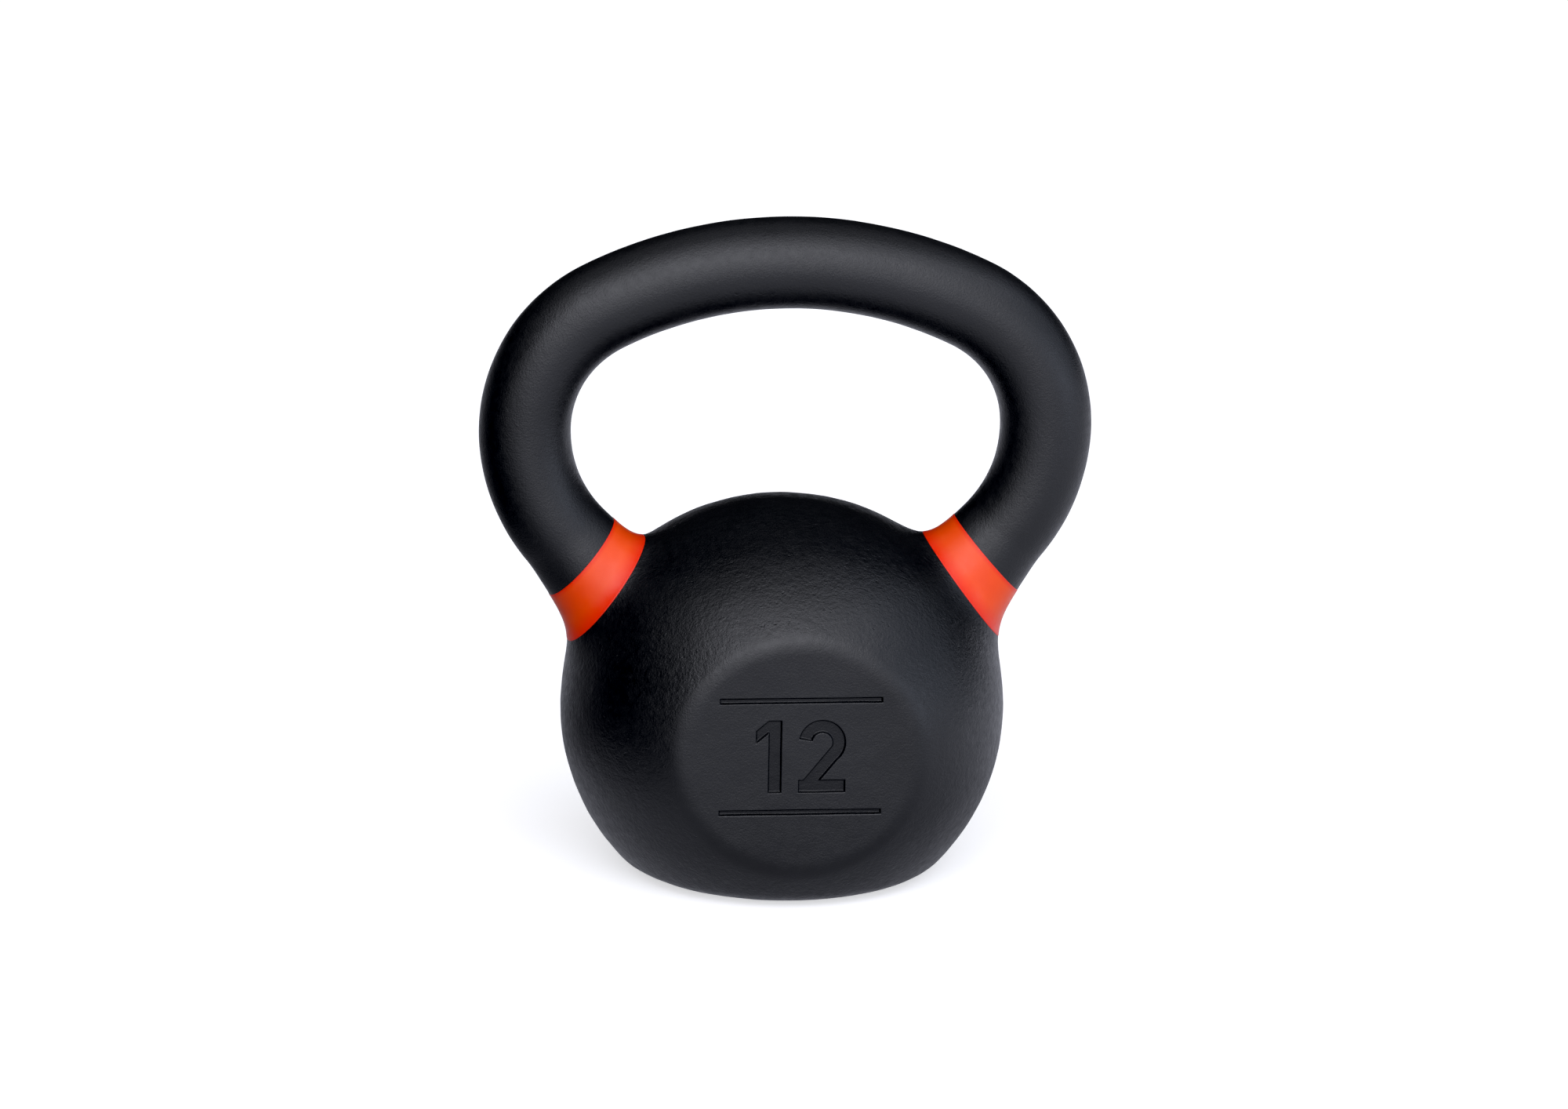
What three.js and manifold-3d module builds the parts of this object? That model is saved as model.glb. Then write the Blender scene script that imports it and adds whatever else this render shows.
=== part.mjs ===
// A 12 kg cast-iron kettlebell: a ball with a flat base and two flat faces, a round grip that loops over it
// on two horns, and a painted colour band round each horn. The real casting is one piece of solid iron. Here
// it parts under the colour bands, so that the bell and the handle are solids of their own.
// Millimetres, +Z up. The origin is the centre of the flat base, the grip runs along X and the weight mark
// faces -Y.

import * as THREE from "three";
import { mergeVertices, toCreasedNormals } from "three/addons/utils/BufferGeometryUtils.js";
import Module from "manifold-3d";

const wasm = await Module();
wasm.setup();

// ---- Driving dimensions ----

const BALL_RADIUS = 72.45; // sized so that the solid iron weighs 12 kg
const BALL_CENTRE_Z = 53.5; // height of the ball's centre above the base
const BALL_TOP_RISE = 69.0; // the crown under the grip is a little flatter than the ball
const BASE_CORNER_RADIUS = 5; // rounding between the ball and the flat base
const FACE_RADIUS = 39; // flat round face, front and back

const GRIP_RADIUS = 14.8;
const GRIP_AXIS_TOP = 201; // height of the grip's axis at the middle
const GRIP_AXIS_HALF_WIDTH = 84.7; // the axis at its widest
const TOP_ARC_RADIUS = 134.4; // the nearly straight stretch that the hands hold
const TOP_ARC_HALF_ANGLE = THREE.MathUtils.degToRad(26.3);
const SIDE_ARC_RADIUS = 53.5; // from the widest point down to the horn
const HORN_LEAN = THREE.MathUtils.degToRad(39.3); // the straight horn, from the vertical
const HORN_TAPER = 0.142; // the straight horn widens towards the ball by this much of its length
const HORN_EASE = 4; // length over which the widening starts
const FILLET_RADIUS = 7.4; // blend between horn and ball
const FILLET_FOOT = 65; // a plane this far from the ball's centre, across a horn, clears its fillet

// A colour band lies between two planes, each set by its lean from the vertical and its distance from the
// ball's centre.
const BAND_FOOT = 70.4;
const BAND_FOOT_LEAN = THREE.MathUtils.degToRad(53.4);
const BAND_HEAD = 83.2;
const BAND_HEAD_LEAN = THREE.MathUtils.degToRad(49.4);
const BAND_THICKNESS = 1.2;
const GAP = 0.3; // clear space between neighbouring solids

const MARK_DEPTH = 1;
const DIGIT_HEIGHT = 24;
const DIGIT_WIDTH = 15; // of the round digit
const DIGIT_STROKE = 4.2;
const DIGIT_GAP = 5.5;
const FLAG_DROP = 3.4; // of the 1's flag
const RULE_LENGTH = 52; // a rule above the number and one below it
const RULE_WIDTH = 1.8;
const RULE_RISE = 18.5; // of a rule's middle from the middle of the number

// ---- Mesh fineness ----

const BALL_SEGMENTS = 72;
const BALL_ARC_STEPS = 26;
const BASE_CORNER_STEPS = 3;
const RING_POINTS = 36;
const RING_STEP = 6; // spacing of the rings along the grip

const CREASE = THREE.MathUtils.degToRad(30); // a sharper edge than this is shaded as an edge

// ---- Materials ----

const blackCoat = new THREE.MeshStandardMaterial({ color: 0x1c1e22, roughness: 0.6, metalness: 0.1 });
const orangePaint = new THREE.MeshStandardMaterial({ color: 0xe8401c, roughness: 0.45, metalness: 0 });

// ---- The grip's axis: half of it, as a chain of arcs and one line in the XZ plane ----

const cornerArcRadius =
  (GRIP_AXIS_HALF_WIDTH - TOP_ARC_RADIUS * Math.sin(TOP_ARC_HALF_ANGLE)) / (1 - Math.sin(TOP_ARC_HALF_ANGLE));
const outward = (angle) => new THREE.Vector2(Math.sin(angle), Math.cos(angle)); // angle from the vertical

const topArc = {
  centre: new THREE.Vector2(0, GRIP_AXIS_TOP - TOP_ARC_RADIUS),
  radius: TOP_ARC_RADIUS,
  from: 0,
  to: TOP_ARC_HALF_ANGLE,
};
const cornerArc = {
  centre: topArc.centre.clone().addScaledVector(outward(topArc.to), TOP_ARC_RADIUS - cornerArcRadius),
  radius: cornerArcRadius,
  from: TOP_ARC_HALF_ANGLE,
  to: Math.PI / 2,
};
const sideArc = {
  centre: cornerArc.centre.clone().add(new THREE.Vector2(cornerArcRadius - SIDE_ARC_RADIUS, 0)),
  radius: SIDE_ARC_RADIUS,
  from: Math.PI / 2,
  to: Math.PI / 2 + HORN_LEAN,
};
const arcs = [topArc, cornerArc, sideArc];
const hornStart = sideArc.centre.clone().addScaledVector(outward(sideArc.to), SIDE_ARC_RADIUS);
const hornDirection = new THREE.Vector2(-Math.sin(HORN_LEAN), -Math.cos(HORN_LEAN));
const ballCentre = new THREE.Vector2(0, BALL_CENTRE_Z);
const faceReach = Math.sqrt(BALL_RADIUS ** 2 - FACE_RADIUS ** 2); // from the middle plane to a flat face

// How far a point of the XZ plane, with x at least 0, is from the half axis, and the grip's radius there.
function distanceToAxis(point) {
  const along = Math.max(0, point.clone().sub(hornStart).dot(hornDirection));
  const onHorn = hornStart.clone().addScaledVector(hornDirection, along);
  const widening = HORN_TAPER * (Math.hypot(along, HORN_EASE) - HORN_EASE);
  let nearest = { distance: point.distanceTo(onHorn), radius: GRIP_RADIUS + widening };
  for (const arc of arcs) {
    const spoke = point.clone().sub(arc.centre);
    const angle = Math.atan2(spoke.x, spoke.y);
    const distance = Math.abs(spoke.length() - arc.radius);
    if (angle >= arc.from && angle <= arc.to && distance < nearest.distance) {
      nearest = { distance, radius: GRIP_RADIUS };
    }
  }
  return nearest;
}

// Signed distance to the surface of ball and grip, joined by a round fillet. It is negative inside.
function castingDistance(x, y, z) {
  const rise = (z - BALL_CENTRE_Z) * (z > BALL_CENTRE_Z ? BALL_RADIUS / BALL_TOP_RISE : 1);
  const ball = Math.hypot(x, y, rise) - BALL_RADIUS;
  const axis = distanceToAxis(new THREE.Vector2(Math.abs(x), z));
  const grip = Math.hypot(axis.distance, y) - axis.radius;
  const blend = Math.hypot(Math.max(FILLET_RADIUS - ball, 0), Math.max(FILLET_RADIUS - grip, 0));
  return Math.max(FILLET_RADIUS, Math.min(ball, grip)) - blend;
}

// ---- Rings: closed loops of points round the right-hand horn or the grip, in a plane ----

// A ring round a centre, in the plane across a direction. It lies on the casting's skin, or depth below it.
function ring(centre, direction, depth = 0) {
  const across = new THREE.Vector2(direction.y, -direction.x);
  return Array.from({ length: RING_POINTS }, (_, i) => {
    const angle = (i / RING_POINTS) * 2 * Math.PI;
    const at = (r) => [
      centre.x + across.x * r * Math.cos(angle),
      r * Math.sin(angle),
      centre.y + across.y * r * Math.cos(angle),
    ];
    let inside = 0;
    let outside = BALL_RADIUS;
    for (let step = 0; step < 30; step++) {
      const middle = (inside + outside) / 2;
      if (castingDistance(...at(middle)) < -depth) inside = middle;
      else outside = middle;
    }
    return new THREE.Vector3(...at(inside));
  });
}

// Which way a plane across the horn faces, by its distance from the ball's centre. It turns over the band's
// width.
function hornPlaneDirection(distance) {
  const held = THREE.MathUtils.clamp(distance, BAND_FOOT, BAND_HEAD);
  return outward(THREE.MathUtils.mapLinear(held, BAND_FOOT, BAND_HEAD, BAND_FOOT_LEAN, BAND_HEAD_LEAN));
}

// How far beyond the start of the straight horn such a plane crosses the horn's axis.
function hornStation(distance) {
  const direction = hornPlaneDirection(distance);
  return (distance - hornStart.clone().sub(ballCentre).dot(direction)) / hornDirection.dot(direction);
}

function hornRing(distance, depth = 0) {
  const centre = hornStart.clone().addScaledVector(hornDirection, hornStation(distance));
  return ring(centre, hornPlaneDirection(distance), depth);
}

const mirrored = (loop) => loop.map((p) => new THREE.Vector3(-p.x, p.y, p.z));

// ---- Solids ----

// A closed mesh over a row of rings, with a flat cap at each end, or joined end to end.
function loft(rings, { closed = false } = {}) {
  const count = rings[0].length;
  const vertices = rings.flat();
  const faces = [];
  const bands = closed ? rings.length : rings.length - 1;
  for (let row = 0; row < bands; row++) {
    const low = row * count;
    const high = ((row + 1) % rings.length) * count;
    for (let i = 0; i < count; i++) {
      const j = (i + 1) % count;
      faces.push([low + i, low + j, high + j], [low + i, high + j, high + i]);
    }
  }
  if (!closed) {
    const last = (rings.length - 1) * count;
    for (let i = 1; i < count - 1; i++) {
      faces.push([0, i + 1, i], [last, last + i, last + i + 1]);
    }
  }
  const geometry = new THREE.BufferGeometry().setFromPoints(vertices);
  geometry.setIndex(faces.flat());
  return geometry;
}

// A manifold-3d solid from a closed geometry, turned right side out.
function solid(geometry) {
  const placed = geometry.clone();
  placed.deleteAttribute("normal");
  placed.deleteAttribute("uv");
  const merged = mergeVertices(placed, 1e-4);
  const vertProperties = merged.attributes.position.array;
  const make = (triVerts) => new wasm.Manifold(new wasm.Mesh({ numProp: 3, vertProperties, triVerts }));
  const triangles = new Uint32Array(merged.index.array);
  const made = make(triangles);
  return made.volume() >= 0 ? made : make(triangles.reverse());
}

function geometryOf(manifold) {
  const mesh = manifold.getMesh();
  const geometry = new THREE.BufferGeometry();
  geometry.setAttribute("position", new THREE.BufferAttribute(mesh.vertProperties, 3));
  geometry.setIndex(new THREE.BufferAttribute(mesh.triVerts, 1));
  return toCreasedNormals(geometry, CREASE);
}

function named(name, manifold, material) {
  const mesh = new THREE.Mesh(geometryOf(manifold), material);
  mesh.name = name;
  return mesh;
}

// ---- The ball, turned from its outline ----

function ballSolid() {
  const cornerCentre = new THREE.Vector2(
    Math.sqrt((BALL_RADIUS - BASE_CORNER_RADIUS) ** 2 - (BALL_CENTRE_Z - BASE_CORNER_RADIUS) ** 2),
    BASE_CORNER_RADIUS,
  );
  const cornerAngle = Math.atan2(cornerCentre.x, cornerCentre.y - BALL_CENTRE_Z); // where corner meets ball
  const outline = [new THREE.Vector2(0, BALL_CENTRE_Z + BALL_TOP_RISE)];
  for (let step = 1; step <= BALL_ARC_STEPS; step++) {
    const angle = (cornerAngle * step) / BALL_ARC_STEPS;
    const rise = Math.cos(angle) * (Math.cos(angle) > 0 ? BALL_TOP_RISE : BALL_RADIUS);
    outline.push(new THREE.Vector2(BALL_RADIUS * Math.sin(angle), BALL_CENTRE_Z + rise));
  }
  for (let step = 1; step <= BASE_CORNER_STEPS; step++) {
    const angle = cornerAngle + ((Math.PI - cornerAngle) * step) / BASE_CORNER_STEPS;
    outline.push(cornerCentre.clone().addScaledVector(outward(angle), BASE_CORNER_RADIUS));
  }
  outline.push(new THREE.Vector2(0, 0));
  return solid(new THREE.LatheGeometry(outline, BALL_SEGMENTS).rotateX(Math.PI / 2)); // its axis turned to +Z
}

// What a flat face takes off the ball, on the side where sign points.
function faceCut(sign) {
  const block = new THREE.BoxGeometry(3 * BALL_RADIUS, BALL_RADIUS, 3 * BALL_RADIUS);
  return solid(block.translate(0, sign * (faceReach + BALL_RADIUS / 2), BALL_CENTRE_Z));
}

// ---- The weight mark: a plain number between two rules, in strokes of one width ----

const STROKE = DIGIT_STROKE / 2; // from a stroke's middle line to its edge
const BOWL_RADIUS = DIGIT_WIDTH / 2 - STROKE; // middle line of the round top of the 2
const BOWL_RISE = DIGIT_HEIGHT - STROKE - BOWL_RADIUS;
const ONE_WIDTH = DIGIT_WIDTH * 0.55;

// A straight stroke between two points, with square ends.
function bar(x1, z1, x2, z2) {
  const from = new THREE.Vector2(x1, z1);
  const to = new THREE.Vector2(x2, z2);
  const along = to.clone().sub(from).normalize();
  const side = new THREE.Vector2(-along.y, along.x).multiplyScalar(STROKE);
  return new THREE.Shape([
    from.clone().add(side),
    from.clone().sub(side),
    to.clone().sub(side),
    to.clone().add(side),
  ]);
}

// A stroke along an arc, anticlockwise, with its ends given in degrees.
function bow(x, z, radius, from, to) {
  const [start, end] = [from, to].map(THREE.MathUtils.degToRad);
  const shape = new THREE.Shape();
  shape.absarc(x, z, radius + STROKE, start, end, false);
  shape.absarc(x, z, radius - STROKE, end, start, true);
  return shape;
}

// Each digit is drawn from its lower left corner.
function digitOne() {
  const stem = ONE_WIDTH - DIGIT_STROKE; // its left edge
  return [
    new THREE.Shape([
      new THREE.Vector2(stem, 0),
      new THREE.Vector2(ONE_WIDTH, 0),
      new THREE.Vector2(ONE_WIDTH, DIGIT_HEIGHT),
      new THREE.Vector2(stem, DIGIT_HEIGHT),
      new THREE.Vector2(0, DIGIT_HEIGHT - FLAG_DROP),
      new THREE.Vector2(0, DIGIT_HEIGHT - FLAG_DROP - DIGIT_STROKE),
      new THREE.Vector2(stem, DIGIT_HEIGHT - DIGIT_STROKE),
    ]),
  ];
}

function digitTwo() {
  const middle = DIGIT_WIDTH / 2;
  const bend = THREE.MathUtils.degToRad(-35); // where the round top runs into the slope
  const bendX = middle + BOWL_RADIUS * Math.cos(bend);
  const bendZ = BOWL_RISE + BOWL_RADIUS * Math.sin(bend);
  return [
    bow(middle, BOWL_RISE, BOWL_RADIUS, -37, 170),
    bar(bendX, bendZ, STROKE * 1.3, STROKE * 1.1),
    bar(0, STROKE, DIGIT_WIDTH, STROKE),
  ];
}

// Everything that the mark takes out of the front face, placed on it.
function markCut() {
  const place = new THREE.Matrix4().makeTranslation(0, -faceReach, BALL_CENTRE_Z);
  const numberWidth = ONE_WIDTH + DIGIT_GAP + DIGIT_WIDTH;
  const digitCuts = (shapes, x) =>
    shapes.map((shape) => {
      const cutter = new THREE.ExtrudeGeometry(shape, { depth: 2 * MARK_DEPTH, bevelEnabled: false });
      cutter.translate(x, -DIGIT_HEIGHT / 2, -MARK_DEPTH).rotateX(Math.PI / 2); // drawn in XY, turned upright
      return solid(cutter.applyMatrix4(place));
    });
  const ruleCut = (rise) => {
    const cutter = new THREE.BoxGeometry(RULE_LENGTH, 2 * MARK_DEPTH, RULE_WIDTH);
    return solid(cutter.translate(0, 0, rise).applyMatrix4(place));
  };
  return [
    ...digitCuts(digitOne(), -numberWidth / 2),
    ...digitCuts(digitTwo(), -numberWidth / 2 + ONE_WIDTH + DIGIT_GAP),
    ruleCut(RULE_RISE),
    ruleCut(-RULE_RISE),
  ].reduce((sum, cut) => sum.add(cut));
}

// ---- The pieces ----

const seatDepth = BAND_THICKNESS + GAP;
const seatFoot = BAND_FOOT - GAP;
const seatHead = BAND_HEAD + GAP;
const parting = (BAND_FOOT + BAND_HEAD) / 2; // bell below it, handle above it

function planesFrom(low, high, steps) {
  return Array.from({ length: steps + 1 }, (_, i) => low + ((high - low) * i) / steps);
}

// The root of a horn on the ball: the fillet, then the seat that the band lies in, up to the parting.
function hornRootRings() {
  const buried = hornRing(FILLET_FOOT - 4, 12);
  const flare = planesFrom(FILLET_FOOT, seatFoot, 6).map((plane) => hornRing(plane));
  const seat = planesFrom(seatFoot, parting - GAP / 2, 4).map((plane) => hornRing(plane, seatDepth));
  return [buried, ...flare, ...seat];
}

function bellSolid() {
  const root = solid(loft(hornRootRings()));
  const otherRoot = solid(loft(hornRootRings().map(mirrored)));
  return ballSolid().add(root).add(otherRoot).subtract(faceCut(-1)).subtract(faceCut(1)).subtract(markCut());
}

// Half of the handle, from its parting on the right-hand horn to the middle of the grip.
function handleHalfRings() {
  const seat = planesFrom(parting + GAP / 2, seatHead, 3).map((plane) => hornRing(plane, seatDepth));
  const rings = [...seat, hornRing(seatHead)];
  const turns = 3; // rings that turn from the band's upper plane to lie across the horn
  for (let step = 1; step <= turns; step++) {
    const share = step / turns;
    const centre = hornStart.clone().addScaledVector(hornDirection, hornStation(seatHead) * (1 - share));
    const direction = hornPlaneDirection(seatHead).lerp(hornDirection.clone().negate(), share).normalize();
    rings.push(ring(centre, direction));
  }
  for (const arcPart of [sideArc, cornerArc, topArc]) {
    const steps = Math.ceil(((arcPart.to - arcPart.from) * arcPart.radius) / RING_STEP);
    for (let step = 1; step <= steps; step++) {
      const angle = arcPart.to + ((arcPart.from - arcPart.to) * step) / steps;
      const centre = arcPart.centre.clone().addScaledVector(outward(angle), arcPart.radius);
      rings.push(ring(centre, new THREE.Vector2(-Math.cos(angle), Math.sin(angle))));
    }
  }
  return rings;
}

function handleSolid() {
  const right = handleHalfRings();
  const left = right.slice(0, -1).reverse().map(mirrored);
  return solid(loft([...right, ...left]));
}

function bandSolid() {
  const planes = planesFrom(BAND_FOOT, BAND_HEAD, 5);
  const outer = planes.map((plane) => hornRing(plane));
  const inner = planes.map((plane) => hornRing(plane, BAND_THICKNESS)).reverse();
  return solid(loft([...outer, ...inner], { closed: true }));
}

const casting = new THREE.Group();
casting.add(named("bell", bellSolid(), blackCoat), named("handle", handleSolid(), blackCoat.clone()));

const rightBand = named("right_colour_band", bandSolid(), orangePaint);
const leftBand = named("left_colour_band", bandSolid(), orangePaint.clone());
leftBand.rotation.z = Math.PI; // a band is the same front and back, so half a turn makes it the other side's
const colourBands = new THREE.Group();
colourBands.add(rightBand, leftBand);

const kettlebell = new THREE.Group();
kettlebell.add(casting, colourBands);

export default kettlebell;
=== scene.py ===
"""A cast-iron kettlebell with painted bands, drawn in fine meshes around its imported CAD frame.

The surface of the casting is one signed-distance function: a ball and a round handle joined by a fillet, cut
by a flat base and two flat faces. Every piece is meshed on it. The distance works in millimetres, Blender in
metres.
"""

import math

import bmesh
import bpy
import numpy as np
from mathutils import Matrix, Vector, noise


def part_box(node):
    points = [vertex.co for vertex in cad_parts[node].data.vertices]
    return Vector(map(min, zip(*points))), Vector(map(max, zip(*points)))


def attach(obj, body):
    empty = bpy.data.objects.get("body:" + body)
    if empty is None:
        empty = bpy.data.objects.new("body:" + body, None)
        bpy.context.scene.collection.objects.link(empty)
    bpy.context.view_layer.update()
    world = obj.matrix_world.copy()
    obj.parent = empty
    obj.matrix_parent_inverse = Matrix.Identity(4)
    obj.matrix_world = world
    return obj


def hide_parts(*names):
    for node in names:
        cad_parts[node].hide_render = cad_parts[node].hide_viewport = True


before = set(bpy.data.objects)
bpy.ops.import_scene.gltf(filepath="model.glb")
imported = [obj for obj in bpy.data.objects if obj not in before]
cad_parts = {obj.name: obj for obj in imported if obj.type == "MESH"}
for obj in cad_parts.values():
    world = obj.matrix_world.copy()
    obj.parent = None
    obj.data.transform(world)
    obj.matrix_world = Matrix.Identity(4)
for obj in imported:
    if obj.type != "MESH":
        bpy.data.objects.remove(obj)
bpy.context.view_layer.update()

MM = 0.001  # metres in a millimetre


def box_mm(node):
    low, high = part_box(node)
    return np.array(low) / MM, np.array(high) / MM


bell_low, bell_high = box_mm("bell")
handle_low, handle_high = box_mm("handle")

# ---- The casting's dimensions, in millimetres: the first five are read off the frame ----

BALL_RADIUS = (bell_high[0] - bell_low[0]) / 2
FACE_REACH = (bell_high[1] - bell_low[1]) / 2  # from the middle plane to a flat face
CROWN_Z = bell_high[2]
HANDLE_TOP_Z = handle_high[2]
HANDLE_HALF_WIDTH = (handle_high[0] - handle_low[0]) / 2

BALL_CENTRE_Z = 53.5
GRIP_RADIUS = 14.8
TOP_ARC_RADIUS = 134.4
TOP_ARC_END = math.radians(26.3)  # angles are from the vertical
SIDE_ARC_RADIUS = 53.5
HORN_LEAN = math.radians(39.3)
HORN_TAPER = 0.142
HORN_EASE = 4.0  # length over which the taper starts
HORN_FILLET = 15.0  # reach of the soft fillet between ball and horn
BASE_ROUNDING = 5.0
FACE_ROUNDING = 1.6

BAND_FOOT = 70.4  # distances of the bands' planes from the ball's centre
BAND_HEAD = 83.2
BAND_FOOT_LEAN = math.radians(53.4)
BAND_HEAD_LEAN = math.radians(49.4)
PAINT_RISE = 0.12  # the paint stands this proud of the casting
PAINT_DEPTH = 0.4
PAINT_LIP = 0.14  # width of the paint's round edges
LIP_RISE = 0.3 * PAINT_RISE  # height of the paint's edge where its rounding starts
PARTING = BAND_FOOT + 1.4  # the bell ends here, under the paint, and the handle starts a little lower
OVERLAP = 0.8

MARK_DEPTH = 1.1
DIGIT_HEIGHT = 24.0
DIGIT_WIDTH = 15.0
DIGIT_STROKE = 4.2
DIGIT_GAP = 5.5
ONE_SHARE = 0.55  # of a digit's width, for the 1
FLAG_DROP = 3.4  # of the 1's flag
BOWL_START = -60  # the arc of the 2's bowl, in degrees
BOWL_END = 170
BEND_ANGLE = math.radians(-35)  # where on the bowl the 2's slope starts
BEND_SHIFT = (0.75, 1.15)  # the slope starts this much further up, inside the bowl's stroke
RULE_LENGTH = 52.0
RULE_WIDTH = 1.8
RULE_RISE = 18.5
MARK_WALL = 0.6  # width of the mark's sloping walls
WALL_OUTSIDE = 0.25  # share of the wall that lies outside the strokes' outline

# ---- Relief of the sand casting: heights of its swells and small lumps, and the lengths of their waves ----

BALL_SWELL = 0.16
BALL_LUMP = 0.055
HANDLE_SWELL = 0.12
HANDLE_LUMP = 0.022
SWELL_LENGTH = 17.0
LUMP_LENGTH = 5.2
SMALL_LUMP_LENGTH = 2.9
SMALL_LUMP_SHARE = 0.6
FLAT_BASE_FADE = 2.0  # the relief fades out over this height above the base

# ---- Fineness of the meshes ----

BALL_QUADS = 72  # along one edge of the cube whose faces become the ball
QUAD_REACH = 1.2  # half the diagonal of one of its quads
MARK_CUTS = 8  # each quad near the mark is cut into nine by nine
FRONT_SKIN = 0.6  # vertices this close behind the front face's plane belong to it
RING_POINTS = 108
RING_STEP = 0.95
PAINT_RINGS_OUTSIDE = 17
PAINT_RINGS_INSIDE = 9
HALVINGS = 34  # of the interval in which a ray meets the surface

# ---- The handle's axis, half of it: three arcs and a straight horn, as (x, z) ----


def outward(angle):
    return np.array([math.sin(angle), math.cos(angle)])


AXIS_TOP_Z = HANDLE_TOP_Z - GRIP_RADIUS
AXIS_HALF_WIDTH = HANDLE_HALF_WIDTH - GRIP_RADIUS
corner_radius = (AXIS_HALF_WIDTH - TOP_ARC_RADIUS * math.sin(TOP_ARC_END)) / (1 - math.sin(TOP_ARC_END))
top_centre = np.array([0.0, AXIS_TOP_Z - TOP_ARC_RADIUS])
corner_centre = top_centre + (TOP_ARC_RADIUS - corner_radius) * outward(TOP_ARC_END)
side_centre = corner_centre + np.array([corner_radius - SIDE_ARC_RADIUS, 0.0])
SIDE_ARC_END = math.pi / 2 + HORN_LEAN
ARCS = [
    (top_centre, TOP_ARC_RADIUS, 0.0, TOP_ARC_END),
    (corner_centre, corner_radius, TOP_ARC_END, math.pi / 2),
    (side_centre, SIDE_ARC_RADIUS, math.pi / 2, SIDE_ARC_END),
]
ANGLE_SLACK = 1e-6  # so that no plane between two arcs belongs to neither
horn_start = side_centre + SIDE_ARC_RADIUS * outward(SIDE_ARC_END)
horn_direction = -outward(HORN_LEAN)
ball_centre = np.array([0.0, BALL_CENTRE_Z])


# ---- Signed distances, negative inside. Points are arrays whose last axis is x, y, z ----


def ball_distance(p):
    crown_rise = CROWN_Z - BALL_CENTRE_Z
    rise = p[..., 2] - BALL_CENTRE_Z
    rise = rise * np.where(rise > 0, BALL_RADIUS / crown_rise, 1.0)
    return np.sqrt(p[..., 0] ** 2 + p[..., 1] ** 2 + rise**2) - BALL_RADIUS


def handle_distance(p):
    x, z = np.abs(p[..., 0]), p[..., 2]
    along = np.maximum(0, (x - horn_start[0]) * horn_direction[0] + (z - horn_start[1]) * horn_direction[1])
    nearest = np.hypot(
        x - horn_start[0] - along * horn_direction[0], z - horn_start[1] - along * horn_direction[1]
    )
    radius = GRIP_RADIUS + HORN_TAPER * (np.hypot(along, HORN_EASE) - HORN_EASE)
    for centre, arc_radius, start, end in ARCS:
        angle = np.arctan2(x - centre[0], z - centre[1])
        gap = np.abs(np.hypot(x - centre[0], z - centre[1]) - arc_radius)
        closer = (angle >= start - ANGLE_SLACK) & (angle <= end + ANGLE_SLACK) & (gap < nearest)
        nearest = np.where(closer, gap, nearest)
        radius = np.where(closer, GRIP_RADIUS, radius)
    return np.hypot(nearest, p[..., 1]) - radius


def soft_union(a, b, reach):
    """Both shapes under a fillet whose curvature starts from nothing, so no crease shows where it begins."""
    share = np.maximum(reach - np.abs(a - b), 0) / reach
    return np.minimum(a, b) - share**3 * reach / 6


def round_cut(a, b, r):
    return np.minimum(-r, np.maximum(a, b)) + np.hypot(np.maximum(a + r, 0), np.maximum(b + r, 0))


def casting_distance(p):
    return soft_union(ball_distance(p), handle_distance(p), HORN_FILLET)


def bell_distance(p):
    """The ball and the feet of its horns, cut by the base, the flat faces and the partings under the paint."""
    d = round_cut(casting_distance(p), np.abs(p[..., 1]) - FACE_REACH, FACE_ROUNDING)
    d = round_cut(d, -p[..., 2], BASE_ROUNDING)
    toward = outward(BAND_FOOT_LEAN)
    parting = np.abs(p[..., 0]) * toward[0] + (p[..., 2] - BALL_CENTRE_Z) * toward[1] - PARTING
    return np.maximum(d, parting)


# ---- The weight mark: a plain number between two rules, as distances in the front face's x and z ----


def outline_distance(x, z, corners):
    """Signed distance to a closed outline of straight edges."""
    nearest = np.full(np.shape(x), np.inf)
    inside = np.zeros(np.shape(x), bool)
    for (x1, z1), (x2, z2) in zip(corners, corners[1:] + corners[:1]):
        along_x, along_z = x2 - x1, z2 - z1
        share = np.clip(((x - x1) * along_x + (z - z1) * along_z) / (along_x**2 + along_z**2), 0, 1)
        nearest = np.minimum(nearest, np.hypot(x - x1 - share * along_x, z - z1 - share * along_z))
        if along_z:
            crossed = ((z1 > z) != (z2 > z)) & (x < x1 + (z - z1) * along_x / along_z)
            inside = inside != crossed
    return np.where(inside, -nearest, nearest)


def square_ended(x, z, start, end, half_width):
    """Signed distance to a straight stroke with square ends."""
    start, end = np.array(start), np.array(end)
    length = np.linalg.norm(end - start)
    unit = (end - start) / length
    middle = (start + end) / 2
    lengthways = np.abs((x - middle[0]) * unit[0] + (z - middle[1]) * unit[1]) - length / 2
    sideways = np.abs((x - middle[0]) * unit[1] - (z - middle[1]) * unit[0]) - half_width
    outside = np.hypot(np.maximum(lengthways, 0), np.maximum(sideways, 0))
    return outside + np.minimum(np.maximum(lengthways, sideways), 0)


def bow_distance(x, z, centre, radius, start, end, half_width):
    """Signed distance to a square-ended stroke along an arc, anticlockwise from start to end, in degrees."""
    angle = np.degrees(np.arctan2(z - centre[1], x - centre[0]))
    angle = (angle - start + 90) % 360 + start - 90
    across = np.abs(np.hypot(x - centre[0], z - centre[1]) - radius) - half_width
    past = np.radians(np.maximum(start - angle, angle - end)) * radius
    return np.maximum(across, past)


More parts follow.
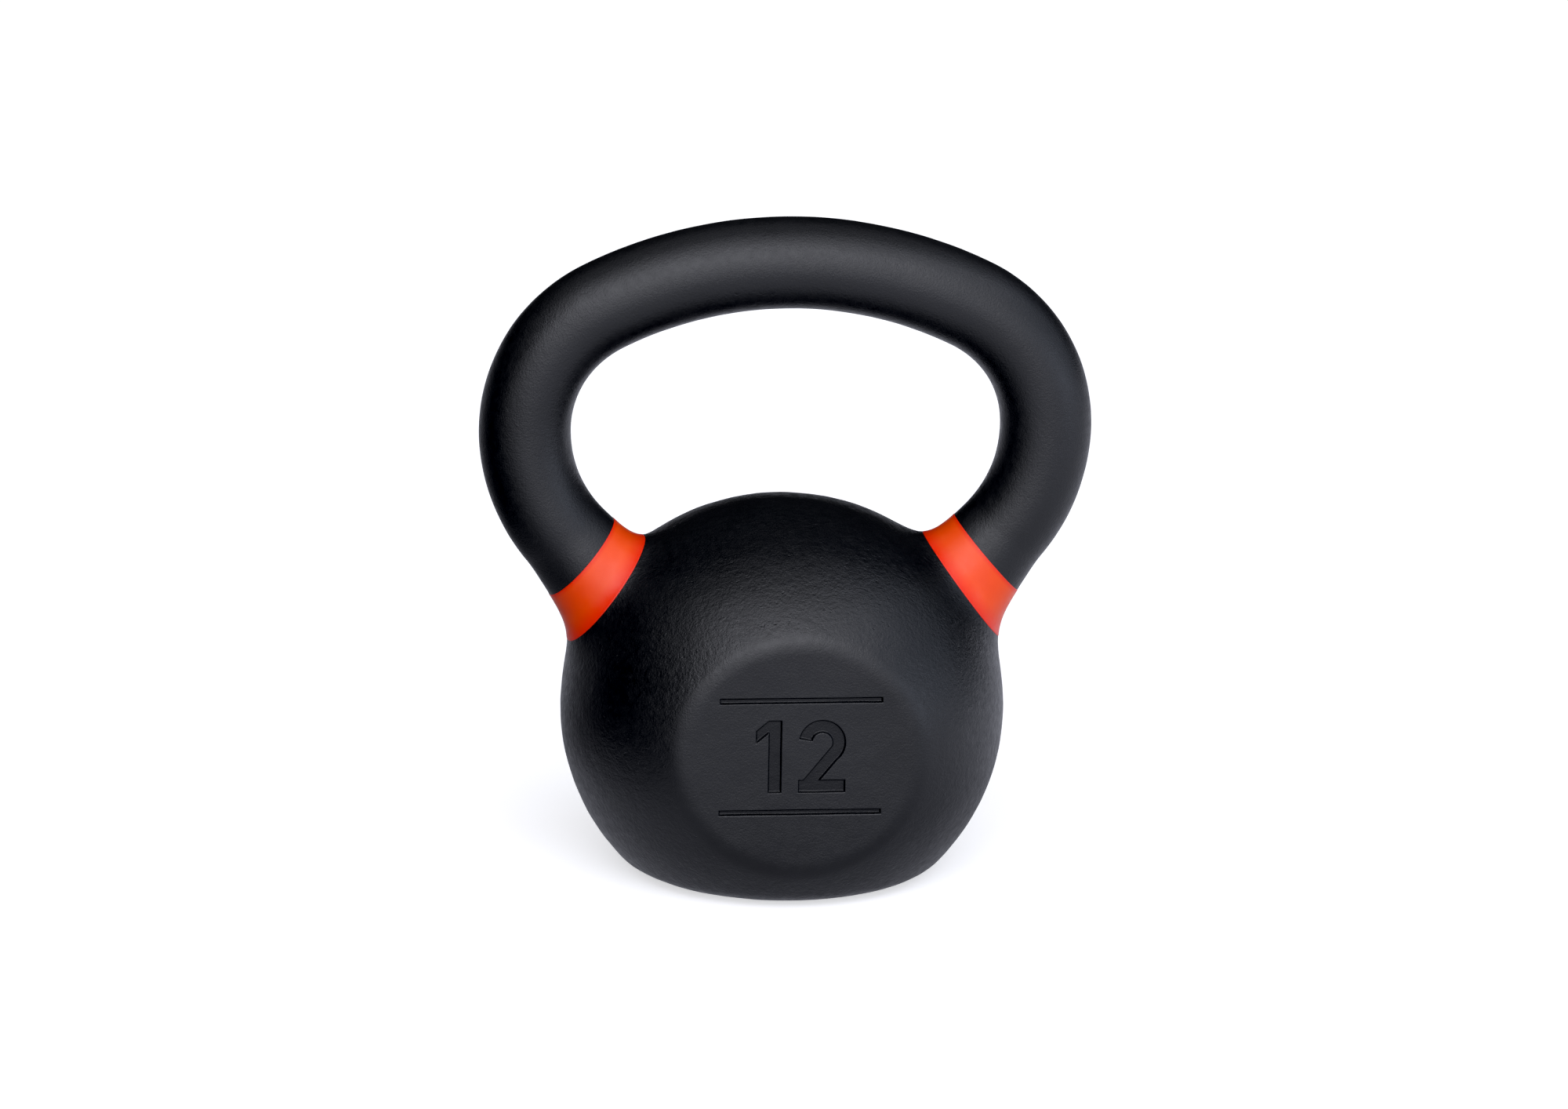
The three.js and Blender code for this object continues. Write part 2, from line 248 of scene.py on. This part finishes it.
def mark_distance(x, z):
    """Signed distance to the strokes at a point of the front face. z is measured from the face's middle."""
    half = DIGIT_STROKE / 2
    one_width = DIGIT_WIDTH * ONE_SHARE
    left = -(one_width + DIGIT_GAP + DIGIT_WIDTH) / 2
    low = -DIGIT_HEIGHT / 2
    top = DIGIT_HEIGHT / 2
    right = left + one_width
    stem = right - DIGIT_STROKE
    one = [(stem, low), (right, low), (right, top), (stem, top)]
    one += [(left, top - FLAG_DROP), (left, top - FLAG_DROP - DIGIT_STROKE), (stem, top - DIGIT_STROKE)]
    two = right + DIGIT_GAP
    bowl = DIGIT_WIDTH / 2 - half
    bowl_centre = (two + DIGIT_WIDTH / 2, low + DIGIT_HEIGHT - half - bowl)
    bend_start = (
        bowl_centre[0] + bowl * math.cos(BEND_ANGLE) + BEND_SHIFT[0],
        bowl_centre[1] + bowl * math.sin(BEND_ANGLE) + BEND_SHIFT[1],
    )
    strokes = [
        outline_distance(x, z, one),
        bow_distance(x, z, bowl_centre, bowl, BOWL_START, BOWL_END, half),
        square_ended(x, z, bend_start, (two + half * 1.3, low + half * 1.1), half),
        square_ended(x, z, (two, low + half), (two + DIGIT_WIDTH, low + half), half),
    ]
    for rise in (RULE_RISE, -RULE_RISE):
        ends = (-RULE_LENGTH / 2, rise), (RULE_LENGTH / 2, rise)
        strokes.append(square_ended(x, z, *ends, RULE_WIDTH / 2))
    return np.min(strokes, axis=0)


def relief(points, coarse, fine):
    """How far each point stands out. coarse and fine are the heights of the casting's swells and lumps."""
    heights = np.empty(len(points))
    lump_shift = Vector((31.0, 0.0, 0.0))  # so that the three noises don't rise at the same places
    small_lump_shift = Vector((0.0, 57.0, 0.0))
    for i, point in enumerate(points):
        place = Vector(point)
        swell = noise.noise(place / SWELL_LENGTH)
        lump = noise.noise((place + lump_shift) / LUMP_LENGTH)
        lump += SMALL_LUMP_SHARE * noise.noise((place + small_lump_shift) / SMALL_LUMP_LENGTH)
        heights[i] = coarse * swell + fine * lump
    return heights


# ---- Meshes ----


def make_object(name, vertices_mm, faces):
    mesh = bpy.data.meshes.new(name)
    mesh.from_pydata((np.asarray(vertices_mm) * MM).tolist(), [], faces)
    mesh.validate()
    mesh.update()
    mesh.polygons.foreach_set("use_smooth", [True] * len(mesh.polygons))
    made = bpy.data.objects.new(name, mesh)
    bpy.context.scene.collection.objects.link(made)
    return made


def face_outwards(made):
    bm = bmesh.new()
    bm.from_mesh(made.data)
    bmesh.ops.recalc_face_normals(bm, faces=bm.faces)
    bm.to_mesh(made.data)
    bm.free()


def solve_outwards(distance, origins, directions, reach, level=0.0):
    """For each ray that starts inside, the point where the distance reaches the level."""
    near = np.zeros(len(directions))
    far = np.full(len(directions), float(reach))
    for _ in range(HALVINGS):
        middle = (near + far) / 2
        inside = distance(origins + directions * middle[:, None]) < level
        near = np.where(inside, middle, near)
        far = np.where(inside, far, middle)
    return origins + directions * near[:, None]


def cube_sphere(quads):
    """Unit directions and quads of a cube's grid, spread evenly over a sphere."""
    ticks = np.tan(np.linspace(-math.pi / 4, math.pi / 4, quads + 1))
    index, directions, faces = {}, [], []

    def corner(p):
        key = tuple(np.round(p, 9))
        if key not in index:
            index[key] = len(directions)
            directions.append(np.array(p) / np.linalg.norm(p))
        return index[key]

    for axis in range(3):
        for side in (-1.0, 1.0):
            grid = np.empty((quads + 1, quads + 1), int)
            for i, a in enumerate(ticks):
                for j, b in enumerate(ticks):
                    grid[i, j] = corner(np.roll([side, a, b], axis))
            for i in range(quads):
                for j in range(quads):
                    faces.append([grid[i, j], grid[i + 1, j], grid[i + 1, j + 1], grid[i, j + 1]])
    return np.array(directions), faces


def refine_mark(bm):
    """Cuts the quads of the front face that the mark touches, and sinks the mark into it."""
    front_limit = -FACE_REACH + FRONT_SKIN

    def near_mark(face):
        c = face.calc_center_median()
        if c.y > front_limit:
            return False
        return mark_distance(np.array(c.x), np.array(c.z - BALL_CENTRE_Z)) < QUAD_REACH + MARK_WALL

    near = [face for face in bm.faces if near_mark(face)]
    edges = list({edge for face in near for edge in face.edges})
    bmesh.ops.subdivide_edges(bm, edges=edges, cuts=MARK_CUTS, use_grid_fill=True)
    front = [v for v in bm.verts if v.co.y < front_limit]
    x = np.array([v.co.x for v in front])
    z = np.array([v.co.z for v in front]) - BALL_CENTRE_Z
    share = np.clip(WALL_OUTSIDE - mark_distance(x, z) / MARK_WALL, 0, 1)
    sunk = MARK_DEPTH * share * share * (3 - 2 * share)
    for vertex, depth in zip(front, sunk):
        vertex.co.y += depth


def add_relief(bm, coarse, fine):
    """Moves every vertex along its normal by the casting's relief, which fades out at the flat base."""
    bm.normal_update()
    points = np.array([v.co for v in bm.verts])
    heights = relief(points, coarse, fine) * np.clip(points[:, 2] / FLAT_BASE_FADE, 0, 1)
    for vertex, height in zip(bm.verts, heights):
        vertex.co += vertex.normal * float(height)


def build_bell():
    directions, faces = cube_sphere(BALL_QUADS)
    origin = np.tile([0.0, 0.0, BALL_CENTRE_Z], (len(directions), 1))
    points = solve_outwards(bell_distance, origin, directions, 1.5 * BALL_RADIUS)
    bell = make_object("bell_casting", points / MM, faces)  # in millimetres while it is worked on
    face_outwards(bell)
    bm = bmesh.new()
    bm.from_mesh(bell.data)
    refine_mark(bm)
    add_relief(bm, BALL_SWELL, BALL_LUMP)
    bmesh.ops.triangulate(bm, faces=[face for face in bm.faces if len(face.verts) > 4])
    bmesh.ops.scale(bm, vec=(MM, MM, MM), verts=bm.verts)
    bm.to_mesh(bell.data)
    bm.free()
    bell.data.polygons.foreach_set("use_smooth", [True] * len(bell.data.polygons))
    return bell


def ring(centre, normal, distance, level=0.0):
    """A closed loop of points round the (x, z) centre, across the normal, where the distance is the level."""
    angles = np.arange(RING_POINTS) * 2 * math.pi / RING_POINTS
    across = np.array([normal[1], 0.0, -normal[0]])
    directions = np.cos(angles)[:, None] * across + np.sin(angles)[:, None] * np.array([0.0, 1.0, 0.0])
    origins = np.tile([centre[0], 0.0, centre[1]], (RING_POINTS, 1))
    return solve_outwards(distance, origins, directions, BALL_RADIUS, level)


def plane_normal(distance):
    """Which way a plane across the horn faces, by its distance from the ball's centre."""
    share = np.clip((distance - BAND_FOOT) / (BAND_HEAD - BAND_FOOT), 0, 1)
    return outward(BAND_FOOT_LEAN + (BAND_HEAD_LEAN - BAND_FOOT_LEAN) * share)


def horn_centre(distance):
    normal = plane_normal(distance)
    along = (distance - (horn_start - ball_centre) @ normal) / (horn_direction @ normal)
    return horn_start + along * horn_direction


def horn_ring(distance, level=0.0):
    return ring(horn_centre(distance), plane_normal(distance), casting_distance, level)


def ring_relief(loop, centre, coarse, fine):
    spokes = loop - np.array([centre[0], 0.0, centre[1]])
    lengths = np.linalg.norm(spokes, axis=1)[:, None]
    return loop + spokes / lengths * relief(loop, coarse, fine)[:, None]


def loft(name, rings, closed):
    """A mesh over a row of rings: capped at both ends, or joined end to end."""
    count = len(rings[0])
    faces = []
    for row in range(len(rings) if closed else len(rings) - 1):
        low, high = row * count, (row + 1) % len(rings) * count
        for i in range(count):
            j = (i + 1) % count
            faces.append([low + i, low + j, high + j, high + i])
    if not closed:
        faces.append(list(range(count)))
        faces.append(list(range((len(rings) - 1) * count, len(rings) * count)))
    made = make_object(name, np.concatenate(rings), faces)
    face_outwards(made)
    return made


def build_handle():
    """The grip and both horns: rings along the right half of the axis, mirrored onto the left half."""
    half = []
    head_centre = horn_centre(BAND_HEAD)
    for distance in np.arange(PARTING - OVERLAP, BAND_HEAD, RING_STEP):
        half.append((horn_centre(distance), plane_normal(distance)))
    straight = np.linalg.norm(head_centre - horn_start)
    steps = round(straight / RING_STEP)
    for step in range(steps):
        share = step / steps
        turn = share * share * (3 - 2 * share)
        normal = plane_normal(BAND_HEAD) * (1 - turn) - horn_direction * turn
        half.append((head_centre + (horn_start - head_centre) * share, normal / np.linalg.norm(normal)))
    for centre, radius, start, end in reversed(ARCS):
        steps = round((end - start) * radius / RING_STEP)
        for step in range(steps):
            angle = end + (start - end) * step / steps
            half.append((centre + radius * outward(angle), np.array([-math.cos(angle), math.sin(angle)])))
    half.append((np.array([0.0, AXIS_TOP_Z]), np.array([-1.0, 0.0])))
    right = [ring(centre, normal, casting_distance) for centre, normal in half]
    centres = [centre for centre, _ in half]
    left = [loop * np.array([-1.0, 1.0, 1.0]) for loop in reversed(right[:-1])]
    centres += [centre * np.array([-1.0, 1.0]) for centre in reversed(centres[:-1])]
    rings = [ring_relief(loop, c, HANDLE_SWELL, HANDLE_LUMP) for loop, c in zip(right + left, centres)]
    return loft("handle_casting", rings, closed=False)


def build_band(name, side):
    """The paint round one horn: a closed skin, proud outside with round edges, whose inside follows it."""
    margin = 3.0 * PAINT_LIP
    outside = np.linspace(BAND_FOOT + margin, BAND_HEAD - margin, PAINT_RINGS_OUTSIDE)
    inside = np.linspace(BAND_HEAD, BAND_FOOT, PAINT_RINGS_INSIDE)
    outline = [(BAND_FOOT, LIP_RISE), (BAND_FOOT + PAINT_LIP, PAINT_RISE)]
    outline += [(distance, PAINT_RISE) for distance in outside]
    outline += [(BAND_HEAD - PAINT_LIP, PAINT_RISE), (BAND_HEAD, LIP_RISE)]
    outline += [(distance, -PAINT_DEPTH) for distance in inside]
    rings = []
    for distance, level in outline:
        loop = horn_ring(distance, level) * np.array([side, 1.0, 1.0])
        centre = horn_centre(distance) * np.array([side, 1.0])
        rings.append(ring_relief(loop, centre, HANDLE_SWELL, HANDLE_LUMP))
    return loft(name, rings, closed=True)


# ---- Materials: colours, noise scales per metre, and bump heights in metres ----

COAT_DARK = (0.0026, 0.0028, 0.0032)
COAT_LIGHT = (0.0044, 0.0047, 0.0054)
PEBBLE_SCALE = 680.0
PEBBLE_HEIGHT = 0.00026
GRIT_SCALE = 1700.0
GRIT_HEIGHT = 0.00012
PIT_SCALE = 560.0
PIT_HEIGHT = 0.00018
FULL_GLOSS = 0.5  # specular level of the coat
MARK_FLOOR_SHADE_GLOSS = 0.36  # and of the bottom of the mark, lowered there as painted shade in the recess
MARK_RADIUS = 0.032  # the mark lies within this distance of the front face's middle
ENAMEL_MIDDLE_RED = (0.74, 0.052, 0.002)
ENAMEL_MIDDLE_ORANGE = (0.81, 0.068, 0.004)
# the enamel's colour in its painted shade along the band's edges
ENAMEL_SHADED_RED = (0.73, 0.018, 0.001)
ENAMEL_GLOSS = 0.4
FOOT_SHADE_WIDTH = 4.6  # width in millimetres of the painted shade, a deeper red, along the band's foot
HEAD_SHADE_WIDTH = 1.6  # and along its head
PEEL_SCALE = 480.0
PEEL_HEIGHT = 0.00015


def new_material(name):
    material = bpy.data.materials.new(name)
    material.use_nodes = True
    tree = material.node_tree
    return material, tree, tree.nodes["Principled BSDF"]


def noise_node(tree, scale, detail=2.0, roughness=0.5):
    node = tree.nodes.new("ShaderNodeTexNoise")
    node.inputs["Scale"].default_value = scale
    node.inputs["Detail"].default_value = detail
    node.inputs["Roughness"].default_value = roughness
    place = tree.nodes.get("Place") or tree.nodes.new("ShaderNodeTexCoord")
    place.name = "Place"
    tree.links.new(place.outputs["Object"], node.inputs["Vector"])
    return node.outputs["Fac"]


def map_range(tree, value, from_low, from_high, to_low, to_high):
    node = tree.nodes.new("ShaderNodeMapRange")
    node.inputs["From Min"].default_value = from_low
    node.inputs["From Max"].default_value = from_high
    node.inputs["To Min"].default_value = to_low
    node.inputs["To Max"].default_value = to_high
    tree.links.new(value, node.inputs["Value"])
    return node.outputs["Result"]


def colour_between(tree, value, low, high):
    node = tree.nodes.new("ShaderNodeMix")
    node.data_type = "RGBA"
    node.inputs["A"].default_value = (*low, 1)
    node.inputs["B"].default_value = (*high, 1)
    tree.links.new(value, node.inputs["Factor"])
    return node.outputs["Result"]


def flat_face_mask(tree, elsewhere, on_face):
    """A value that is on_face on the flat front and back and elsewhere on the rest, with a soft border."""
    place = tree.nodes["Place"]
    parts = tree.nodes.new("ShaderNodeSeparateXYZ")
    tree.links.new(place.outputs["Object"], parts.inputs["Vector"])
    depth = tree.nodes.new("ShaderNodeMath")
    depth.operation = "ABSOLUTE"
    tree.links.new(parts.outputs["Y"], depth.inputs[0])
    edge = FACE_REACH * MM
    return map_range(tree, depth.outputs["Value"], edge - 0.003, edge - 0.0008, elsewhere, on_face)


def mark_floor_shade_mask(tree, elsewhere, on_floor):
    """A value that is on_floor on the bottom of the sunk mark and elsewhere outside the mark."""
    place = tree.nodes["Place"]
    parts = tree.nodes.new("ShaderNodeSeparateXYZ")
    tree.links.new(place.outputs["Object"], parts.inputs["Vector"])
    front = -FACE_REACH * MM
    sunk = map_range(tree, parts.outputs["Y"], front + 0.0003, front + 0.0009, 0, 1)  # down the mark's walls
    from_middle = tree.nodes.new("ShaderNodeVectorMath")
    from_middle.operation = "DISTANCE"
    tree.links.new(place.outputs["Object"], from_middle.inputs[0])
    from_middle.inputs[1].default_value = (0.0, front, BALL_CENTRE_Z * MM)
    soft = 0.001
    inside = map_range(tree, from_middle.outputs["Value"], MARK_RADIUS - soft, MARK_RADIUS + soft, 1, 0)
    both = tree.nodes.new("ShaderNodeMath")
    both.operation = "MULTIPLY"
    tree.links.new(sunk, both.inputs[0])
    tree.links.new(inside, both.inputs[1])
    return map_range(tree, both.outputs["Value"], 0, 1, elsewhere, on_floor)


def bump_over(tree, height, distance, strength, below=None, fade=None):
    node = tree.nodes.new("ShaderNodeBump")
    node.inputs["Distance"].default_value = distance
    node.inputs["Strength"].default_value = strength
    if fade is not None:
        scaled = tree.nodes.new("ShaderNodeMath")
        scaled.operation = "MULTIPLY"
        scaled.inputs[1].default_value = strength
        tree.links.new(fade, scaled.inputs[0])
        tree.links.new(scaled.outputs["Value"], node.inputs["Strength"])
    tree.links.new(height, node.inputs["Height"])
    if below is not None:
        tree.links.new(below, node.inputs["Normal"])
    return node.outputs["Normal"]


def coated_iron(name, pebble, grit, rough_low, rough_high, face_calm=1.0, shade_mark_floor=False):
    """Matte black powder coat: an orange peel of soft pebbles, a fine grit, and pits from the sand mould.

    face_calm is the share of the pebbles that is left on the flat faces. The last argument lowers the gloss of
    the mark's floor as painted shade in the recess.
    """
    material, tree, shader = new_material(name)
    cloud = noise_node(tree, 28.0, 4.0)
    tint = map_range(tree, cloud, 0.35, 0.65, 0, 1)
    tree.links.new(colour_between(tree, tint, COAT_DARK, COAT_LIGHT), shader.inputs["Base Color"])
    smears = noise_node(tree, 420.0, 3.0)
    tree.links.new(map_range(tree, smears, 0.3, 0.7, rough_low, rough_high), shader.inputs["Roughness"])
    calm = flat_face_mask(tree, 1.0, face_calm) if face_calm < 1.0 else None
    # Painted shade: a lower gloss darkens the floor of the sunk mark
    if shade_mark_floor:
        gloss = mark_floor_shade_mask(tree, FULL_GLOSS, MARK_FLOOR_SHADE_GLOSS)
        tree.links.new(gloss, shader.inputs["Specular IOR Level"])
    pebbles = bump_over(tree, noise_node(tree, PEBBLE_SCALE, 3.0, 0.6), PEBBLE_HEIGHT, pebble, fade=calm)
    grains = bump_over(tree, noise_node(tree, GRIT_SCALE, 2.0, 0.6), GRIT_HEIGHT, grit, pebbles)
    pits = map_range(tree, noise_node(tree, PIT_SCALE, 1.0), 0.70, 0.86, 0, -1)  # only the noise's rare peaks
    tree.links.new(bump_over(tree, pits, PIT_HEIGHT, pebble, grains, fade=calm), shader.inputs["Normal"])
    return material


def plane_fade(tree, lean, start, end):
    """0 to 1 as a point's distance from the ball's centre, along a leaning direction, goes start to end."""
    place = tree.nodes["Place"]
    shift = tree.nodes.new("ShaderNodeVectorMath")
    shift.operation = "SUBTRACT"
    shift.inputs[1].default_value = (0, 0, BALL_CENTRE_Z * MM)
    tree.links.new(place.outputs["Object"], shift.inputs[0])
    fold = tree.nodes.new("ShaderNodeVectorMath")
    fold.operation = "ABSOLUTE"
    tree.links.new(shift.outputs["Vector"], fold.inputs[0])
    along = tree.nodes.new("ShaderNodeVectorMath")
    along.operation = "DOT_PRODUCT"
    along.inputs[1].default_value = (math.sin(lean), 0, math.cos(lean))
    tree.links.new(fold.outputs["Vector"], along.inputs[0])
    return map_range(tree, along.outputs["Value"], start * MM, end * MM, 0, 1)


def band_enamel():
    """Satin orange-red enamel brushed over the casting, with painted shade in a deeper red along both edges.
    """
    material, tree, shader = new_material("band_enamel")
    shader.inputs["Specular IOR Level"].default_value = ENAMEL_GLOSS
    cloud = map_range(tree, noise_node(tree, 60.0, 3.0), 0.35, 0.65, 0, 1)
    middle = colour_between(tree, cloud, ENAMEL_MIDDLE_RED, ENAMEL_MIDDLE_ORANGE)
    # Painted shade: deeper red towards the band's foot and head
    edges = tree.nodes.new("ShaderNodeMath")
    edges.operation = "MAXIMUM"
    tree.links.new(plane_fade(tree, BAND_FOOT_LEAN, BAND_FOOT + FOOT_SHADE_WIDTH, BAND_FOOT), edges.inputs[0])
    tree.links.new(plane_fade(tree, BAND_HEAD_LEAN, BAND_HEAD - HEAD_SHADE_WIDTH, BAND_HEAD), edges.inputs[1])
    paint = tree.nodes.new("ShaderNodeMix")
    paint.data_type = "RGBA"
    paint.inputs["B"].default_value = (*ENAMEL_SHADED_RED, 1)
    tree.links.new(middle, paint.inputs["A"])
    tree.links.new(edges.outputs["Value"], paint.inputs["Factor"])
    tree.links.new(paint.outputs["Result"], shader.inputs["Base Color"])
    smears = noise_node(tree, 380.0, 3.0)
    tree.links.new(map_range(tree, smears, 0.3, 0.7, 0.32, 0.44), shader.inputs["Roughness"])
    peel = bump_over(tree, noise_node(tree, PEEL_SCALE, 2.0), PEEL_HEIGHT, 0.25)
    tree.links.new(peel, shader.inputs["Normal"])
    return material


# ---- Build ----

bell = build_bell()
handle = build_handle()
right_band = build_band("right_band_paint", 1.0)
left_band = build_band("left_band_paint", -1.0)

bell.data.materials.append(coated_iron("bell_coat", 0.8, 0.8, 0.31, 0.43, face_calm=0.3, shade_mark_floor=True))
handle.data.materials.append(coated_iron("handle_coat", 0.3, 0.8, 0.34, 0.44))
enamel = band_enamel()
for band in (right_band, left_band):
    band.data.materials.append(enamel)
    band.visible_glossy = False  # the coat beside the paint stays black

for piece, node, slot_name in (
    (bell, "bell", "coated_iron"),
    (handle, "handle", "coated_iron"),
    (right_band, "right_colour_band", "band_enamel"),
    (left_band, "left_colour_band", "band_enamel"),
):
    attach(piece, "root")
    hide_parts(node)

# ---- Floor, lights and camera, in metres ----

FLOOR_RADIUS = 6.0
FLOOR_DROP = 0.0002  # below the base, so that the two never share a plane
FLOOR_ALBEDO = 0.84
FLOOR_GLOW_NEAR = 0.59
FLOOR_GLOW_FAR = 0.90
# The object sees a glowing floor, painted light in place of the lit one, with painted shade in it
FLOOR_PAINTED_GLOW = 0.80
FLOOR_PAINTED_GLOW_TINT = (0.96, 0.98, 1.12)
PAINTED_SHADE_CLOSE_BY = 0.55  # how strong the floor's glow is right beside the base, dimmed there as painted shade
PAINTED_SHADE_ON_LEFT = 0.05  # and far out on the left, dimmed there as painted shade
WORLD_DIM = 0.03
LIGHT_DISTANCE = 1.5
LIGHT_TARGET = (0, 0, 0.1)
NEUTRAL = (0.96, 0.97, 1.06)
COOL = (0.88, 0.96, 1.16)
BLACK_LEVEL = 0.007  # the picture's black point, as scene light

CAMERA_DISTANCE = 2.178
CAMERA_AZIMUTH = math.radians(-5.95)
CAMERA_ELEVATION = math.radians(14.91)
CAMERA_ROLL = math.radians(0.92)
CAMERA_TARGET = (-0.00005, 0.0, 0.1039)
SENSOR = 36.0
FOCAL_WIDTHS = 4.2714  # focal length in widths of the picture


def build_floor():
    """A white floor. The camera sees it lit, running out into plain white.

    What the object mirrors of it is a glow set apart, painted light in place of the lit floor: white in front
    and behind, grey close by the base and near black on the left, both of them painted shade.
    """
    bpy.ops.mesh.primitive_circle_add(
        vertices=128, radius=FLOOR_RADIUS, fill_type="NGON", location=(0, 0, -FLOOR_DROP)
    )
    floor = bpy.context.object
    floor.name = "floor"
    material, tree, seen = new_material("floor_white")
    seen.inputs["Base Color"].default_value = (FLOOR_ALBEDO, FLOOR_ALBEDO, FLOOR_ALBEDO, 1)
    seen.inputs["Roughness"].default_value = 0.9
    seen.inputs["Specular IOR Level"].default_value = 0.0
    seen.inputs["Emission Color"].default_value = (0.99, 0.99, 1.0, 1)
    place = tree.nodes.new("ShaderNodeTexCoord")
    length = tree.nodes.new("ShaderNodeVectorMath")
    length.operation = "LENGTH"
    tree.links.new(place.outputs["Object"], length.inputs[0])
    far = length.outputs["Value"]
    glow = map_range(tree, far, 0.2, 1.2, FLOOR_GLOW_NEAR, FLOOR_GLOW_FAR)
    tree.links.new(glow, seen.inputs["Emission Strength"])

    bearing = tree.nodes.new("ShaderNodeVectorMath")
    bearing.operation = "NORMALIZE"
    tree.links.new(place.outputs["Object"], bearing.inputs[0])
    sideways = tree.nodes.new("ShaderNodeSeparateXYZ")
    tree.links.new(bearing.outputs["Vector"], sideways.inputs["Vector"])
    # Painted shade: the glow fades to near black on the left and is dimmed close by the base
    beside = map_range(tree, sideways.outputs["X"], -0.9, -0.3, PAINTED_SHADE_ON_LEFT, 1.0)
    away = map_range(tree, far, 0.10, 0.22, 0, 1)
    strength = tree.nodes.new("ShaderNodeMix")
    strength.inputs["A"].default_value = PAINTED_SHADE_CLOSE_BY
    tree.links.new(away, strength.inputs["Factor"])
    tree.links.new(beside, strength.inputs["B"])
    # The floor's painted glow, seen by every ray but the camera's
    painted_glow = tree.nodes.new("ShaderNodeEmission")
    painted_glow.inputs["Color"].default_value = (*[FLOOR_PAINTED_GLOW * tint for tint in FLOOR_PAINTED_GLOW_TINT], 1)
    tree.links.new(strength.outputs["Result"], painted_glow.inputs["Strength"])
    path = tree.nodes.new("ShaderNodeLightPath")
    mix = tree.nodes.new("ShaderNodeMixShader")
    tree.links.new(path.outputs["Is Camera Ray"], mix.inputs["Fac"])
    tree.links.new(painted_glow.outputs["Emission"], mix.inputs[1])
    tree.links.new(seen.outputs["BSDF"], mix.inputs[2])
    tree.links.new(mix.outputs["Shader"], tree.nodes["Material Output"].inputs["Surface"])
    floor.data.materials.append(material)


def aim(thing, at, target, roll=0.0):
    """Places a light or camera at a point, looking at a target, with its own roll."""
    back = (Vector(at) - Vector(target)).normalized()
    right = Vector((0, 0, 1)).cross(back).normalized()
    up = back.cross(right)
    turned_right = right * math.cos(roll) + up * math.sin(roll)
    turned_up = up * math.cos(roll) - right * math.sin(roll)
    thing.matrix_world = Matrix((
        (turned_right.x, turned_up.x, back.x, at[0]),
        (turned_right.y, turned_up.y, back.y, at[1]),
        (turned_right.z, turned_up.z, back.z, at[2]),
        (0, 0, 0, 1),
    ))


def seen_from(target, azimuth, elevation, distance):
    """A point at a distance from target. Azimuth 0 is in front, on the -Y side, and it grows towards +X."""
    level = math.cos(elevation) * distance
    return (
        target[0] + math.sin(azimuth) * level,
        target[1] - math.cos(azimuth) * level,
        target[2] + math.sin(elevation) * distance,
    )


def softbox(name, azimuth, elevation, half_width, half_height, radiance, colour=NEUTRAL):
    """A rectangular light at a bearing, with angular half sizes, all in degrees as the object sees it.

    The camera doesn't see it.
    """
    data = bpy.data.lights.new(name, "AREA")
    data.shape = "RECTANGLE"
    data.size = 2 * LIGHT_DISTANCE * math.tan(math.radians(half_width))
    data.size_y = 2 * LIGHT_DISTANCE * math.tan(math.radians(half_height))
    data.energy = radiance * math.pi * data.size * data.size_y
    data.color = colour
    light = bpy.data.objects.new(name, data)
    bpy.context.scene.collection.objects.link(light)
    eye = seen_from(LIGHT_TARGET, math.radians(azimuth), math.radians(elevation), LIGHT_DISTANCE)
    aim(light, eye, LIGHT_TARGET)
    light.visible_camera = False


def build_world():
    """White to the camera, and a dim studio to the object."""
    world = bpy.data.worlds.new("studio")
    bpy.context.scene.world = world
    world.use_nodes = True
    tree = world.node_tree
    dim = tree.nodes["Background"]
    dim.inputs["Color"].default_value = (0.95, 0.97, 1.0, 1)
    dim.inputs["Strength"].default_value = WORLD_DIM
    white = tree.nodes.new("ShaderNodeBackground")
    white.inputs["Strength"].default_value = 1.0
    path = tree.nodes.new("ShaderNodeLightPath")
    mix = tree.nodes.new("ShaderNodeMixShader")
    tree.links.new(path.outputs["Is Camera Ray"], mix.inputs["Fac"])
    tree.links.new(dim.outputs["Background"], mix.inputs[1])
    tree.links.new(white.outputs["Background"], mix.inputs[2])
    tree.links.new(mix.outputs["Shader"], tree.nodes["World Output"].inputs["Surface"])


build_floor()
build_world()
softbox("key_softbox", -11, 38.5, 28, 19.5, 2.45)
softbox("key_edge", 28, 40, 11, 20, 0.75)
softbox("wide_softbox", 3, 44, 44, 33, 0.62)
softbox("top_panel", 0, 76, 50, 10, 1.0)
softbox("front_card_left", -40, 6, 18, 9, 0.95)
softbox("front_card_middle", 0, 6, 22, 9, 1.85)
softbox("front_card_right", 50, 6, 25, 9, 1.25, COOL)
softbox("right_panel", 76, 28, 28, 30, 0.62, COOL)
softbox("back_panel", 180, 70, 40, 12, 0.35)


def build_camera():
    data = bpy.data.cameras.new("camera")
    data.sensor_width = SENSOR
    data.lens = SENSOR * FOCAL_WIDTHS
    camera = bpy.data.objects.new("camera", data)
    bpy.context.scene.collection.objects.link(camera)
    eye = seen_from(CAMERA_TARGET, CAMERA_AZIMUTH, CAMERA_ELEVATION, CAMERA_DISTANCE)
    aim(camera, eye, CAMERA_TARGET, CAMERA_ROLL)
    bpy.context.scene.camera = camera


build_camera()

look = bpy.context.scene.view_settings
look.view_transform = "Standard"
look.use_curve_mapping = True
look.curve_mapping.black_level = (BLACK_LEVEL, BLACK_LEVEL, BLACK_LEVEL)
look.curve_mapping.update()
